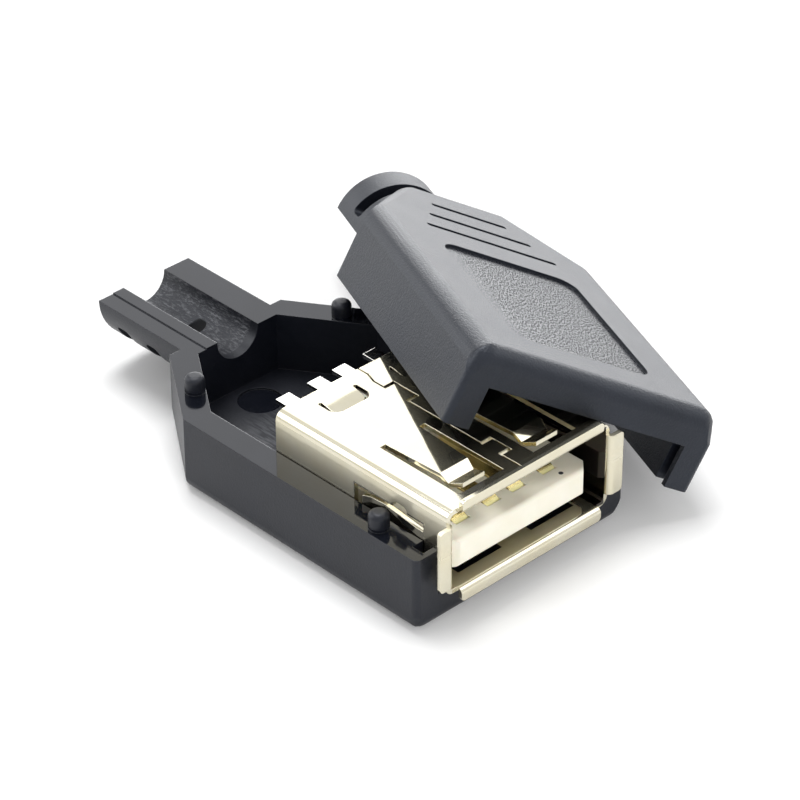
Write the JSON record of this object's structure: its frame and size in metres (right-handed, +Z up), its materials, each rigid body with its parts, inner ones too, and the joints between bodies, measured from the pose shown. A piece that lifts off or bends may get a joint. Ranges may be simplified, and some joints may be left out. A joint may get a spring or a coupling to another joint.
{
  "type": "usb socket",
  "caption": "Open cable socket: metal can with insulator and contacts in a tapered lower shell, with the matching upper shell laid tilted over it.",
  "frame": {"origin": "on the table, at the middle of the straight part of the lower shell's underside", "axes": "+Z up, -Y out of the socket's mouth, +Y along the cable channel, +X to the side where the upper shell lies"},
  "size_m": [0.03, 0.0364, 0.0137],
  "materials": {
    "lower_plastic": "satin black",
    "upper_plastic": "fine spark-eroded texture",
    "can_metal": "bright nickel plate",
    "insulator_plastic": "cream white",
    "contact_metal": "gold flash"
  },
  "bodies": {
    "root": {"lower_shell": "lower_plastic", "upper_shell": "upper_plastic", "socket_can": "can_metal", "insulator": "insulator_plastic", "contact_1": "contact_metal", "contact_2": "contact_metal", "contact_3": "contact_metal", "contact_4": "contact_metal"}
  },
  "joints": []
}
